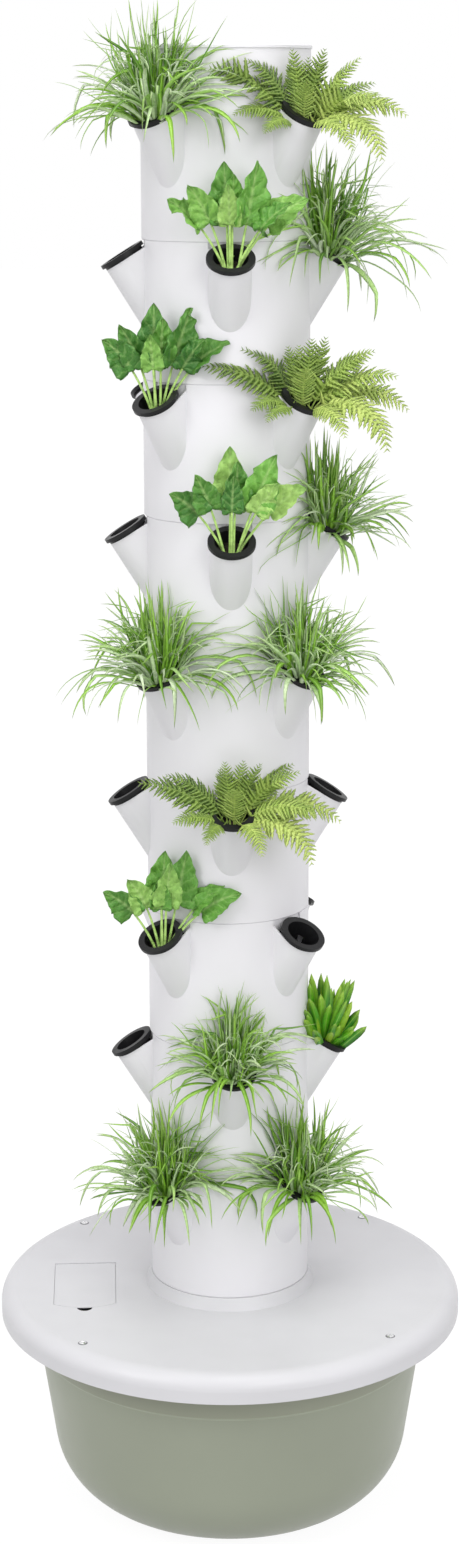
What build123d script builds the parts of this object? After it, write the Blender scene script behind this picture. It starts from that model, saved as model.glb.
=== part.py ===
# Hydroponic tower: stacked planting tiers with tilted cups on a lidded water reservoir.
# Millimetres, +Z up, -Y towards the front, origin on the floor under the tower's axis.

import os
from math import atan, cos, pi, radians, sin

from build123d import *

# Tower wall and the plug joint between tiers
tower_radius = 100.0
tower_wall = 2.5
tier_count = 9
tier_pitch = 163.0
tier_turn = 45.0
spigot_length = 16.0
spigot_wall = 2.5
spigot_cone = 5.0
shoulder_depth = 3.0
slip_gap = 0.3
seam_bevel = 1.0

# Tilted cups on each tier, measured from the tier's top edge
cups_per_tier = 4
cup_tilt = 32.0
cup_radius = 25.0
cup_wall = 2.0
cup_run = 150.0
mouth_reach = 120.2
mouth_drop = 22.45
notch_height = 60.0
cavity_overrun = 2.0

# Net pots, measured from the cup's mouth along the cup's axis
collar_height = 3.0
flange_radius = 28.5
flange_height = 4.5
basket_depth = 55.0
basket_top_radius = 21.8
basket_foot_radius = 15.5
basket_wall = 1.6
pot_mouth_radius = 20.5
slot_count = 6
slot_width = 7.0
slot_top = 11.0
slot_core = 9.0

# Reservoir tub
tub_height = 285.0
tub_draft = 0.15
tub_corner = 100.0
tub_wall = 3.5
tub_step_height = 209.0
tub_step = 1.5
rim_clear = 1.5
rim_flange = 14.3
rim_thickness = 4.0

# Reservoir lid, its boss and its screws
lid_radius = 294.5
lid_thickness = 3.0
lid_edge = 20.0
lid_skirt = 35.0
boss_height = 15.0
boss_foot_radius = 108.0
boss_top_radius = 101.5
socket_depth = 38.0
socket_wall = 3.0
screw_inset = 6.0
screw_turn = 45.0
screw_count = 4
screw_head_radius = 4.5
screw_head_height = 1.8
screw_shank_radius = 2.0
screw_length = 16.0
screw_play = 0.3

# Filling hatch in the lid, hinged at its rear edge
hatch_shift = 4.25
hatch_width = 78.0
hatch_front = -73.0
hatch_rear = 54.5
hatch_bow = 12.0
hatch_gap = 0.5
hatch_ledge = 4.0
hatch_ledge_height = 3.0
hinge_roll = 3.0
hinge_pin_radius = 1.25
hinge_pin_play = 0.05
hinge_pin_reach = 7.0
hinge_clear = 1.0
bearing_width = 9.0
bearing_length = 12.0
bearing_drop = 4.0
finger_width = 19.0
finger_depth = 10.0

# Collar, cap and water distributor at the top
collar_wall_height = 54.0
shelf_radius = 89.0
shelf_height = 6.0
shelf_thickness = 3.0
cap_radius = 101.5
cap_thickness = 4.6
cap_round = 1.6
cap_plug_depth = 15.0
cap_plug_wall = 2.5
cap_gap = 0.5
dish_radius = 96.5
dish_floor = 2.5
dish_height = 22.0
dish_wall = 2.5
drip_count = 8
drip_radius = 2.5
drip_circle = 80.0
hub_radius = 13.0
hub_drop = 10.0
hub_rise = 14.0

# Riser pipe from the pump to the distributor
pipe_radius = 10.0
pipe_bore = 8.0
pipe_sections = 3
pipe_gap = 0.15
coupler_radius = 12.5
coupler_length = 40.0
coupler_rib = 2.0

# Submersible pump on the tub's floor
pump_width = 64.0
pump_height = 52.0
pump_front = -12.0
pump_back = 50.0
pump_round = 8.0
foot_height = 8.0
foot_radius = 9.0
foot_neck_radius = 4.0
foot_inset = 11.0
volute_radius = 20.0
volute_depth = 20.0
outlet_bore = 7.0
outlet_radius = 9.5
outlet_height = 20.0
gland_radius = 6.0
gland_length = 8.0
gland_height = 38.0
adapter_radius = 12.5
adapter_rise = 30.0
adapter_stop = 2.0
shaft_radius = 1.5
shaft_play = 0.05
shaft_seat = 6.0
shaft_seat_gap = 0.02
impeller_radius = 17.0
impeller_hub_radius = 4.0
impeller_front = -8.0
impeller_back = 5.0
impeller_disc = 2.0
blade_count = 6
blade_thickness = 2.0
cover_depth = 14.0
cover_wall = 2.0
cover_inset = 2.0
grille_slots = 5
grille_slot_width = 4.0
grille_slot_height = 22.0
grille_pitch = 9.0
dial_radius = 8.0
dial_thickness = 4.0
dial_height = 15.0
dial_stem_radius = 2.5
dial_stem_play = 0.05
dial_seat_gap = 0.1
dial_grip_width = 3.0
dial_grip_height = 3.0

# Plants: root plugs and leaves
plug_gap = 0.5
plug_top = 8.0
plug_foot = 50.0
leaf_root = 3.0
crown_shift = 7.0
crown_radius = 8.0
fan_skew = 6.0
leaf_thickness = 1.6
grass_blade = 168.0
grass_droop = 165.0
frond_length = 120.0
frond_skew = 14.0
spinach_length = 112.0
herb_length = 102.0

tower_bore = tower_radius - tower_wall
spigot_radius = tower_bore - slip_gap
spigot_bore = spigot_radius - spigot_wall
lid_top = tub_height + lid_thickness
tower_foot = lid_top + boss_height
tower_top = tower_foot + tier_count * tier_pitch
pot_height = collar_height + flange_height

# The tub's rim and wall follow the lid, down to the foot
rim_radius = lid_radius - lid_edge - rim_clear
screw_circle = rim_radius - screw_inset
draft_angle = atan(tub_draft)
tub_wall_run = (tub_height - tub_corner * (1 - sin(draft_angle)) - tub_step) * tub_draft
tub_foot_radius = rim_radius - rim_flange - tub_step - tub_wall_run - tub_corner * cos(draft_angle)

# Hatch between the boss and the lid's edge, and the line of its hinge
hatch_x = hatch_shift - (boss_foot_radius + lid_radius - lid_edge) / 2
hatch_left = hatch_x - hatch_width / 2
hatch_right = hatch_x + hatch_width / 2
hinge_y = hatch_rear - hatch_gap - hinge_roll
hinge_z = lid_top - hinge_roll

# Heights along the water's way up
pump_foot = tub_wall + foot_height
pump_top = pump_foot + pump_height
volute_height = pump_foot + pump_height / 2
outlet_top = pump_top + outlet_height
riser_foot = outlet_top + adapter_stop
riser_top = tower_top + shelf_height + hub_drop
pipe_length = (riser_top - riser_foot - (pipe_sections - 1) * coupler_rib) / pipe_sections


def turned(*outline):
    # A solid of revolution about Z from an outline of (radius, height) points
    return revolve(make_face(Plane.XZ * Polyline(*outline, close=True)), Axis.Z)


def around(shape, count, start=0.0):
    # The same shape repeated evenly about Z
    return [Rot(0, 0, start + i * 360 / count) * shape for i in range(count)]


def tier_top(tier):
    # Tiers are counted from the top
    return tower_foot + (tier_count + 1 - tier) * tier_pitch


def cup_place(tier, azimuth):
    # Upright frame at a cup's mouth: X points outwards, azimuth 0 is the front and 90 the right
    up = Pos(0, 0, tier_top(tier)) * Rot(0, 0, azimuth - 90)
    return up * Pos(mouth_reach, 0, -mouth_drop)


def pot_place(tier, azimuth):
    return cup_place(tier, azimuth) * Rot(0, cup_tilt, 0)


def cup_section(radius):
    # Round on the outside, with straight sides that run in to the tower's wall
    inward = mouth_reach - tower_bore + 2 * radius
    return Circle(radius) + Pos(-inward / 2, 0) * Rectangle(inward, 2 * radius)


def tier_module():
    wall = turned(
        (tower_radius - seam_bevel, 0),
        (tower_radius, seam_bevel),
        (tower_radius, tier_pitch),
        (tower_bore, tier_pitch),
        (tower_bore, shoulder_depth + spigot_cone),
        (spigot_bore, shoulder_depth),
        (spigot_bore, -spigot_length),
        (spigot_radius, -spigot_length),
        (spigot_radius, 0),
    )
    mouth = Pos(mouth_reach, 0, tier_pitch - mouth_drop) * Rot(0, cup_tilt, 0)
    cup = extrude(mouth * cup_section(cup_radius), -cup_run)
    cup -= Cylinder(tower_bore, 3 * tier_pitch)
    inner = mouth * Pos(0, 0, cavity_overrun) * cup_section(cup_radius - cup_wall)
    cavity = extrude(inner, -cup_run)
    notch = extrude(mouth * cup_section(cup_radius), notch_height)
    body = wall + around(cup, cups_per_tier)
    body -= around(cavity, cups_per_tier)
    return body - around(notch, cups_per_tier)


def net_pot():
    # Origin at the cup's mouth, Z along the cup's axis
    pot = turned(
        (0, -basket_depth),
        (basket_foot_radius, -basket_depth),
        (basket_top_radius, 0),
        (cup_radius, 0),
        (cup_radius, collar_height),
        (flange_radius, collar_height),
        (flange_radius, pot_height),
        (pot_mouth_radius, pot_height),
        (basket_foot_radius - basket_wall, basket_wall - basket_depth),
        (0, basket_wall - basket_depth),
    )
    # Slots run down the wall and in under the foot, as far as a solid core
    slot = Box(cup_radius, slot_width, basket_depth, align=(Align.MIN, Align.CENTER, Align.MAX))
    return pot - around(Pos(slot_core, 0, -slot_top) * slot, slot_count)


def tub_outline(inset, floor):
    # Outer or inner side of the tub: floor, round corner, drafted wall and the step below the rim
    foot = tub_foot_radius
    corner = tub_corner - inset
    centre_height = floor + corner
    low = (foot + corner * cos(draft_angle), centre_height - corner * sin(draft_angle))
    middle_angle = (pi / 2 + draft_angle) / 2
    middle = (foot + corner * cos(middle_angle), centre_height - corner * sin(middle_angle))
    below_step = (low[0] + (tub_step_height - low[1]) * tub_draft, tub_step_height)
    above_step = (below_step[0] + tub_step, tub_step_height + tub_step)
    rim = (above_step[0] + (tub_height - above_step[1]) * tub_draft, tub_height)
    return (foot, floor), middle, low, below_step, above_step, rim


def reservoir_tub():
    foot, bend, low, below_step, above_step, rim = tub_outline(0, 0)
    foot_in, bend_in, low_in, below_in, above_in, rim_in = tub_outline(tub_wall, tub_wall)
    rim_under = tub_height - rim_thickness
    neck = (rim[0] - rim_thickness * tub_draft, rim_under)
    outline = [
        Line((0, 0), foot),
        ThreePointArc(foot, bend, low),
        Polyline(low, below_step, above_step, neck, (rim_radius, rim_under), (rim_radius, tub_height)),
        Polyline((rim_radius, tub_height), rim_in, above_in, below_in, low_in),
        ThreePointArc(low_in, bend_in, foot_in),
        Polyline(foot_in, (0, tub_wall), (0, 0)),
    ]
    tub = revolve(make_face(Plane.XZ * Curve(outline)), Axis.Z)
    hole = Pos(screw_circle, 0, tub_height) * Cylinder(screw_shank_radius + screw_play, 4 * rim_thickness)
    return tub - around(hole, screw_count, screw_turn)


def hatch_outline(grow):
    # Plan of the hatch: straight sides and rear, bowed front
    half = hatch_width / 2 + grow
    rear = hatch_rear - hatch_gap + grow
    front = hatch_front - grow
    left, right = hatch_x - half, hatch_x + half
    bow = ThreePointArc((right, front), (hatch_x, front - hatch_bow), (left, front))
    sides = Polyline((left, front), (left, rear), (right, rear), (right, front))
    return make_face(Curve([sides, bow]))


def finger_notch():
    # Half of this slot shows in front of the hatch's bowed edge
    return Pos(hatch_x, hatch_front - hatch_bow) * SlotOverall(2 * finger_depth, finger_width, rotation=90)


def reservoir_lid():
    edge_low = lid_top - lid_skirt
    socket_low = tower_foot - socket_depth
    flat = lid_radius - lid_edge
    inner_edge = lid_edge - lid_thickness
    bend = lid_edge * sin(pi / 4)
    bend_in = inner_edge * sin(pi / 4)
    edge_z = lid_top - lid_edge
    outline = [
        Polyline((tower_bore, socket_low), (tower_bore, tower_foot), (boss_top_radius, tower_foot)),
        Polyline((boss_top_radius, tower_foot), (boss_foot_radius, lid_top), (flat, lid_top)),
        ThreePointArc((flat, lid_top), (flat + bend, edge_z + bend), (lid_radius, edge_z)),
        Polyline(
            (lid_radius, edge_z),
            (lid_radius, edge_low),
            (lid_radius - lid_thickness, edge_low),
            (lid_radius - lid_thickness, edge_z),
        ),
        ThreePointArc(
            (lid_radius - lid_thickness, edge_z),
            (flat + bend_in, edge_z + bend_in),
            (flat, tub_height),
        ),
        Polyline(
            (flat, tub_height),
            (tower_bore + socket_wall, tub_height),
            (tower_bore + socket_wall, socket_low),
            (tower_bore, socket_low),
        ),
    ]
    lid = revolve(make_face(Plane.XZ * Curve(outline)), Axis.Z)
    lid -= Pos(0, 0, tub_height) * extrude(hatch_outline(hatch_gap) + finger_notch(), lid_thickness)

    # Ledge under the hatch's front and sides, and a bearing block at each end of its hinge
    ledge = hatch_outline(hatch_gap + hatch_ledge) - hatch_outline(-hatch_ledge) - finger_notch()
    rear_end = hinge_y - hinge_roll - hinge_clear
    ledge &= Pos(hatch_x, rear_end - hatch_width) * Rectangle(2 * hatch_width, 2 * hatch_width)
    lid += Pos(0, 0, tub_height - hatch_ledge_height) * extrude(ledge, hatch_ledge_height)
    for edge, side in ((hatch_left, -1), (hatch_right, 1)):
        middle = edge + side * (hatch_gap + bearing_width / 2)
        height = hinge_roll + bearing_drop
        block = Box(bearing_width, bearing_length, height, align=(Align.CENTER, Align.CENTER, Align.MAX))
        lid += Pos(middle, hinge_y, tub_height) * block
    pin_hole = Cylinder(hinge_pin_radius + hinge_pin_play, hatch_width + 2 * hinge_pin_reach + 1)
    lid -= Pos(hatch_x, hinge_y, hinge_z) * Rot(0, 90, 0) * pin_hole

    hole = Pos(screw_circle, 0, lid_top) * Cylinder(screw_shank_radius + screw_play, 4 * lid_thickness)
    return lid - around(hole, screw_count, screw_turn)


def hatch_cover():
    plate = Pos(0, 0, tub_height) * extrude(hatch_outline(0), lid_thickness)
    trim = Box(2 * hatch_width, hatch_width, 4 * lid_thickness)
    plate -= Pos(hatch_x, hinge_y + hatch_width / 2, lid_top) * trim
    roll = Pos(hatch_x, hinge_y, hinge_z) * Rot(0, 90, 0) * Cylinder(hinge_roll, hatch_width)
    bore = Pos(hatch_x, hinge_y, hinge_z) * Rot(0, 90, 0) * Cylinder(hinge_pin_radius, hatch_width)
    return plate + roll - bore


def hatch_hinge_pin():
    pin = Cylinder(hinge_pin_radius, hatch_width + 2 * hinge_pin_reach)
    return Pos(hatch_x, hinge_y, hinge_z) * Rot(0, 90, 0) * pin


def lid_screws():
    screw = turned(
        (0, -screw_length),
        (screw_shank_radius, -screw_length),
        (screw_shank_radius, 0),
        (screw_head_radius, 0),
        (screw_head_radius, screw_head_height),
        (0, screw_head_height),
    )
    return Compound(around(Pos(screw_circle, 0, lid_top) * screw, screw_count, screw_turn))


def top_collar():
    collar = turned(
        (tower_radius - seam_bevel, 0),
        (tower_radius, seam_bevel),
        (tower_radius, collar_wall_height),
        (tower_bore, collar_wall_height),
        (tower_bore, shelf_height),
        (shelf_radius, shelf_height),
        (shelf_radius, shelf_height - shelf_thickness),
        (spigot_bore, shelf_height - shelf_thickness),
        (spigot_bore, -spigot_length),
        (spigot_radius, -spigot_length),
        (spigot_radius, 0),
    )
    return Pos(0, 0, tower_top) * collar


def top_cap():
    plug = tower_bore - cap_gap
    cap = turned(
        (0, 0),
        (plug - cap_plug_wall, 0),
        (plug - cap_plug_wall, -cap_plug_depth),
        (plug, -cap_plug_depth),
        (plug, 0),
        (cap_radius, 0),
        (cap_radius, cap_thickness - cap_round),
        (cap_radius - cap_round, cap_thickness),
        (0, cap_thickness),
    )
    return Pos(0, 0, tower_top + collar_wall_height) * cap


def water_distributor():
    # A dish on the collar's shelf: the riser fills it and the ring of holes drips on the roots
    socket = pipe_radius + pipe_gap
    dish = turned(
        (socket, -hub_drop),
        (hub_radius, -hub_drop),
        (hub_radius, 0),
        (dish_radius, 0),
        (dish_radius, dish_height),
        (dish_radius - dish_wall, dish_height),
        (dish_radius - dish_wall, dish_floor),
        (hub_radius, dish_floor),
        (hub_radius, hub_rise),
        (pipe_bore, hub_rise),
        (pipe_bore, hub_drop),
        (socket, hub_drop),
    )
    drip = Pos(drip_circle, 0, 0) * Cylinder(drip_radius, 4 * dish_floor)
    return Pos(0, 0, tower_top + shelf_height) * (dish - around(drip, drip_count))


def riser_pipe(section):
    # Sections are counted from the bottom, with a coupler's rib between them
    foot = riser_foot + section * (pipe_length + coupler_rib)
    return Pos(0, 0, foot) * turned(
        (pipe_bore, 0), (pipe_radius, 0), (pipe_radius, pipe_length), (pipe_bore, pipe_length)
    )


def riser_couplers():
    socket = pipe_radius + pipe_gap
    end = coupler_length / 2
    rib = coupler_rib / 2
    sleeve = turned(
        (socket, -end),
        (coupler_radius, -end),
        (coupler_radius, end),
        (socket, end),
        (socket, rib),
        (pipe_bore, rib),
        (pipe_bore, -rib),
        (socket, -rib),
    )
    joints = range(1, pipe_sections)
    heights = [riser_foot + i * (pipe_length + coupler_rib) - rib for i in joints]
    return Compound([Pos(0, 0, height) * sleeve for height in heights])


def along_y(front, back, radius):
    # A round bar along Y at the height of the pump's chamber
    middle = Pos(0, (front + back) / 2, volute_height)
    return middle * Rot(90, 0, 0) * Cylinder(radius, back - front)


def pump_housing():
    middle = (pump_front + pump_back) / 2
    box = Pos(0, middle, pump_foot + pump_height / 2) * Box(pump_width, pump_back - pump_front, pump_height)
    housing = fillet(box.edges().filter_by(Axis.Y), pump_round)
    nozzle = Cylinder(outlet_radius, outlet_height, align=(Align.CENTER, Align.CENTER, Align.MIN))
    housing += Pos(0, 0, pump_top) * nozzle
    gland = Rot(90, 0, 0) * Cylinder(gland_radius, gland_length)
    housing += Pos(0, pump_back + gland_length / 2, gland_height) * gland
    housing -= along_y(pump_front - 1, pump_front + volute_depth, volute_radius)
    seat = pump_front + volute_depth + shaft_seat
    housing -= along_y(pump_front, seat, shaft_radius + shaft_seat_gap)
    duct = Cylinder(outlet_bore, outlet_top, align=(Align.CENTER, Align.CENTER, Align.MIN))
    return housing - Pos(0, 0, volute_height) * duct


def pump_front_cover():
    width = pump_width - 2 * cover_inset
    height = pump_height - 2 * cover_inset
    outer = Pos(0, pump_front - cover_depth / 2, volute_height) * Box(width, cover_depth, height)
    outer = fillet(outer.edges().filter_by(Axis.Y), pump_round - cover_inset)
    inner = Pos(0, pump_front - (cover_depth - cover_wall) / 2, volute_height)
    hollow = Box(width - 2 * cover_wall, cover_depth - cover_wall, height - 2 * cover_wall)
    cover = outer - inner * hollow
    slot_z = volute_height - dial_radius / 2
    slot = Box(grille_slot_width, 4 * cover_wall, grille_slot_height)
    for i in range(grille_slots):
        x = (i - (grille_slots - 1) / 2) * grille_pitch
        cover -= Pos(x, pump_front - cover_depth, slot_z) * slot
    stem_hole = along_y(pump_front - 2 * cover_depth, pump_front - 1, dial_stem_radius + dial_stem_play)
    return cover - Pos(0, 0, dial_height) * stem_hole


def impeller_shaft():
    return along_y(impeller_front - 2, pump_front + volute_depth + shaft_seat, shaft_radius)


def pump_impeller():
    hub = along_y(impeller_front, impeller_back, impeller_hub_radius)
    disc = along_y(impeller_back - impeller_disc, impeller_back, impeller_radius)
    length = impeller_back - impeller_front
    middle = (impeller_front + impeller_back) / 2
    blade = Pos(impeller_radius / 2, 0, 0) * Box(impeller_radius, length, blade_thickness)
    blades = [Rot(0, i * 360 / blade_count, 0) * blade for i in range(blade_count)]
    wheel = Pos(0, middle, volute_height) * (Box(impeller_hub_radius, length, impeller_hub_radius) + blades)
    wheel &= along_y(impeller_front, impeller_back, impeller_radius)
    bore = along_y(impeller_front - 1, impeller_back + 1, shaft_radius + shaft_play)
    return hub + disc + wheel - bore


def flow_dial():
    face = pump_front - cover_depth - dial_seat_gap
    knob = along_y(face - dial_thickness, face, dial_radius)
    stem = along_y(face, face + cover_wall + dial_thickness, dial_stem_radius)
    grip_y = face - dial_thickness - dial_grip_height / 2
    grip = Pos(0, grip_y, volute_height) * Box(2 * dial_radius - 2, dial_grip_height, dial_grip_width)
    return Pos(0, 0, dial_height) * (knob + stem + grip)


def pump_outlet_adapter():
    # Slips over the pump's outlet below and takes the riser above
    lower = outlet_radius + pipe_gap
    upper = pipe_radius + pipe_gap
    skirt = outlet_top - outlet_height / 2
    return turned(
        (lower, skirt),
        (adapter_radius, skirt),
        (adapter_radius, outlet_top + adapter_rise),
        (upper, outlet_top + adapter_rise),
        (upper, riser_foot),
        (pipe_bore, riser_foot),
        (pipe_bore, outlet_top),
        (lower, outlet_top),
    )


def suction_cups():
    cup = turned(
        (0, 0),
        (foot_radius, 0),
        (foot_neck_radius, foot_height / 2),
        (foot_neck_radius, foot_height),
        (0, foot_height),
    )
    xs = (foot_inset - pump_width / 2, pump_width / 2 - foot_inset)
    ys = (pump_front + foot_inset, pump_back - foot_inset)
    return Compound([Pos(x, y, tub_wall) * cup for x in xs for y in ys])


def root_plug():
    # Fills the net pot's basket; origin at the cup's mouth, Z along the cup's axis
    slope = (pot_mouth_radius - basket_foot_radius + basket_wall) / (pot_height + basket_depth - basket_wall)
    mouth_radius = pot_mouth_radius - pot_height * slope - plug_gap
    return turned(
        (0, -plug_foot),
        (mouth_radius - plug_foot * slope, -plug_foot),
        (mouth_radius - plug_top * slope, -plug_top),
        (0, -plug_top),
    )


def leaf(turn, length, angles, widths, ring=crown_radius):
    # A flat leaf along a bent line, in an upright plane turned from the outward direction
    step = length / len(angles)
    outs, ups = [0.0], [0.0]
    for angle in angles:
        outs.append(outs[-1] + step * cos(radians(angle)))
        ups.append(ups[-1] + step * sin(radians(angle)))
    chord = (outs[-1], 0, ups[-1])
    sections = []
    for out, up, width in zip(outs, ups, widths):
        plane = Plane((out, 0, up), x_dir=(0, 1, 0), z_dir=chord)
        sections.append(plane * Rectangle(width, leaf_thickness))

    # The leaf's foot stands on a ring just under the plug's sloping top
    spoke = Pos(crown_shift, 0, -plug_top) * Rot(0, 0, turn) * Pos(ring, 0, 0)
    foot = Rot(0, cup_tilt, 0) * spoke
    return Pos(foot.position) * Pos(0, 0, -leaf_root) * Rot(0, 0, turn) * loft(sections, ruled=True)


def fan(count, spread):
    # Index and direction of leaves that fan out to the front and sides, a little to one side,
    # so that the leaves of two neighbours pass each other
    return [(i, fan_skew + spread * (2 * i / (count - 1) - 1)) for i in range(count)]


def grass():
    # Narrow blades: every other one droops, and the rest stand up
    leaves = []
    for i, turn in fan(13, 100):
        if i % 2:
            blade = leaf(turn, grass_blade - 5 * (i % 3), (86, 76, 56), (3, 5, 4, 1.5), crown_radius / 2)
        else:
            blade = leaf(turn, grass_droop + 6 * (i % 3), (76, 24, -44), (3, 5, 4, 1.5))
        leaves.append(blade)
    return leaves


def fern():
    # Arching fronds, widest past the middle and longer to one side
    leaves = []
    for i, turn in fan(8, 98):
        lift = 14 * (i % 2)
        length = frond_length + frond_skew * sin(radians(turn))
        leaves.append(leaf(turn, length, (74 + lift / 2, 26 + lift, lift - 24), (3, 8, 26, 3)))
    return leaves


def spinach():
    # Long stalks that open into broad pointed leaves
    leaves = []
    for i, turn in fan(6, 85):
        lift = 16 * (i % 2)
        leaves.append(leaf(turn, spinach_length, (84, 70, 40 + lift, 24 + lift), (3, 4, 30, 26, 2)))
    return leaves


def herb():
    # A tight bunch of upright, rounded leaves
    leaves = []
    for i, turn in fan(7, 90):
        lift = 10 * (i % 2)
        leaves.append(leaf(turn, herb_length - lift, (82, 66 + lift, 76), (3, 11, 14, 5)))
    return leaves


# Where each plant stands: tier, azimuth, kind and side in its node's name
plantings = (
    (1, -45, grass, "left"),
    (1, 45, fern, "right"),
    (2, 0, spinach, "front"),
    (2, 90, grass, "right"),
    (3, -45, spinach, "left"),
    (3, 45, fern, "right"),
    (4, 0, spinach, "front"),
    (4, 90, grass, "right"),
    (5, -45, grass, "left"),
    (5, 45, grass, "right"),
    (6, 0, fern, "front"),
    (7, -45, spinach, "left"),
    (8, 0, grass, "front"),
    (8, 90, herb, "right"),
    (9, -45, grass, "left"),
    (9, 45, grass, "right"),
)

# Cups at the front and sides whose pots are empty and lift out
loose_pots = (
    (2, -90, "left"),
    (4, -90, "left"),
    (6, -90, "left"),
    (6, 90, "right"),
    (7, 45, "right"),
    (8, -90, "left"),
)


def plant(kind):
    # Leaves start just under the plug's top, so one fuse makes a single solid
    plug = Rot(0, cup_tilt, 0) * root_plug()
    return plug.fuse(*kind())


def main():
    os.makedirs("parts", exist_ok=True)
    nodes = {
        "reservoir_tub": reservoir_tub(),
        "reservoir_lid": reservoir_lid(),
        "lid_screws": lid_screws(),
        "hatch_cover": hatch_cover(),
        "hatch_hinge_pin": hatch_hinge_pin(),
        "top_collar": top_collar(),
        "top_cap": top_cap(),
        "water_distributor": water_distributor(),
        "riser_couplers": riser_couplers(),
        "pump_housing": pump_housing(),
        "pump_front_cover": pump_front_cover(),
        "impeller_shaft": impeller_shaft(),
        "pump_impeller": pump_impeller(),
        "flow_dial": flow_dial(),
        "pump_outlet_adapter": pump_outlet_adapter(),
        "suction_cups": suction_cups(),
    }
    for section, name in enumerate(("lower", "middle", "upper")):
        nodes[f"riser_pipe_{name}"] = riser_pipe(section)

    module = tier_module()
    for tier in range(1, tier_count + 1):
        turn = tier_turn * (tier % 2)
        foot = tier_top(tier) - tier_pitch
        nodes[f"tier_module_{tier}"] = Pos(0, 0, foot) * Rot(0, 0, turn) * module

    pot = net_pot()
    for tier, azimuth, side in loose_pots:
        nodes[f"net_pot_tier_{tier}_{side}"] = pot_place(tier, azimuth) * pot
    planted = [pot_place(tier, azimuth) * pot for tier, azimuth, kind, side in plantings]
    nodes["net_pots_planted"] = Compound(planted)
    rear = []
    for tier in range(1, tier_count + 1):
        for azimuth in (135, 225) if tier % 2 else (180,):
            rear.append(pot_place(tier, azimuth) * pot)
    nodes["net_pots_rear"] = Compound(rear)

    plants = {kind: plant(kind) for kind in (grass, fern, spinach, herb)}
    for tier, azimuth, kind, side in plantings:
        name = f"{kind.__name__}_tier_{tier}_{side}"
        nodes[name] = cup_place(tier, azimuth) * plants[kind]

    for name, shape in nodes.items():
        export_step(shape, f"parts/{name}.step")
    print(len(nodes), "nodes")


main()
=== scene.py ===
import math
import random

import bmesh
import bpy
from mathutils import Matrix, Vector, noise


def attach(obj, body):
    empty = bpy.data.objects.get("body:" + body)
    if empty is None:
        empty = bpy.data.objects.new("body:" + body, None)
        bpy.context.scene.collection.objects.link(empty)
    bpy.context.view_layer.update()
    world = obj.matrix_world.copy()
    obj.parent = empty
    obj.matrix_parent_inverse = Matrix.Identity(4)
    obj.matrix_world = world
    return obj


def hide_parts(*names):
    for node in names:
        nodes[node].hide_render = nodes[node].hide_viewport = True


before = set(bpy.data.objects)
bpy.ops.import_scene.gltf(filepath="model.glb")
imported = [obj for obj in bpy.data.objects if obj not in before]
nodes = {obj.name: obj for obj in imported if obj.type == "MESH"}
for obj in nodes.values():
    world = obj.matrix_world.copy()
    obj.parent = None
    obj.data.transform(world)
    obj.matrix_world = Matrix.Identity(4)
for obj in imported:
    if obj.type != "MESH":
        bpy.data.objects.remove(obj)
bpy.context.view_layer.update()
scene = bpy.context.scene
scene.view_settings.view_transform = "Standard"
print("frame loaded:", len(nodes), "nodes")


# camera, fitted to the seams between the tiers and to the lid's outline
cameraSet = {"azimuth": -2.5, "distance": 3.321, "height": 1.747, "pitch": 13.35, "roll": -0.22,
             "sensor": 36, "focalPixels": 2759, "imageHeight": 1544, "shiftPixels": 1.5}


def makeCamera(look):
    data = bpy.data.cameras.new("photoCamera")
    data.sensor_width = look["sensor"]
    data.lens = look["sensor"] * look["focalPixels"] / look["imageHeight"]
    data.shift_x = look["shiftPixels"] / look["imageHeight"]
    camera = bpy.data.objects.new("photoCamera", data)
    scene.collection.objects.link(camera)
    turn = math.radians(look["azimuth"])
    place = Vector((math.sin(turn) * look["distance"], -math.cos(turn) * look["distance"], look["height"]))
    aim = Matrix.Rotation(turn, 4, "Z") @ Matrix.Rotation(math.radians(90 - look["pitch"]), 4, "X")
    roll = Matrix.Rotation(math.radians(look["roll"]), 4, "Z")
    camera.matrix_world = Matrix.Translation(place) @ aim @ roll
    scene.camera = camera


makeCamera(cameraSet)


# shader sockets as plain values: sums and products of them add Math nodes
class Wire:
    def __init__(self, tree, socket=None):
        self.tree = tree
        self.socket = socket

    def add(self, kind, settings, plugs, out=0):
        node = self.tree.nodes.new(kind)
        for name, value in settings.items():
            if name == "stops":  # a colour ramp's positions and colours
                ramp = node.color_ramp
                while len(ramp.elements) < len(value):
                    ramp.elements.new(0.5)
                for element, (place, paint) in zip(ramp.elements, value):
                    element.position = place
                    element.color = (*paint, 1)
            else:
                setattr(node, name, value)
        for name, value in plugs.items():
            if isinstance(value, Wire):
                self.tree.links.new(value.socket, node.inputs[name])
            else:
                node.inputs[name].default_value = value
        return Wire(self.tree, node.outputs[out])

    def maths(self, operation, first, second):
        return self.add("ShaderNodeMath", {"operation": operation}, {0: first, 1: second})

    def __add__(self, other):
        return self.maths("ADD", self, other)

    def __radd__(self, other):
        return self.maths("ADD", other, self)

    def __sub__(self, other):
        return self.maths("SUBTRACT", self, other)

    def __rsub__(self, other):
        return self.maths("SUBTRACT", other, self)

    def __mul__(self, other):
        return self.maths("MULTIPLY", self, other)

    def __rmul__(self, other):
        return self.maths("MULTIPLY", other, self)

    def __pow__(self, other):
        return self.maths("POWER", self, other)

    def __rpow__(self, other):
        return self.maths("POWER", other, self)

    def __abs__(self):
        return self.add("ShaderNodeMath", {"operation": "ABSOLUTE"}, {0: self})


def colour(red, green, blue):
    return (red, green, blue, 1)


def mixed(amount, first, second):
    return amount.add("ShaderNodeMix", {"data_type": "RGBA"}, {0: amount, 6: first, 7: second}, 2)


def ranged(value, low, high, start=0.0, end=1.0):
    return value.add("ShaderNodeMapRange", {"clamp": True},
                     {"Value": value, "From Min": low, "From Max": high, "To Min": start, "To Max": end})


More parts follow.
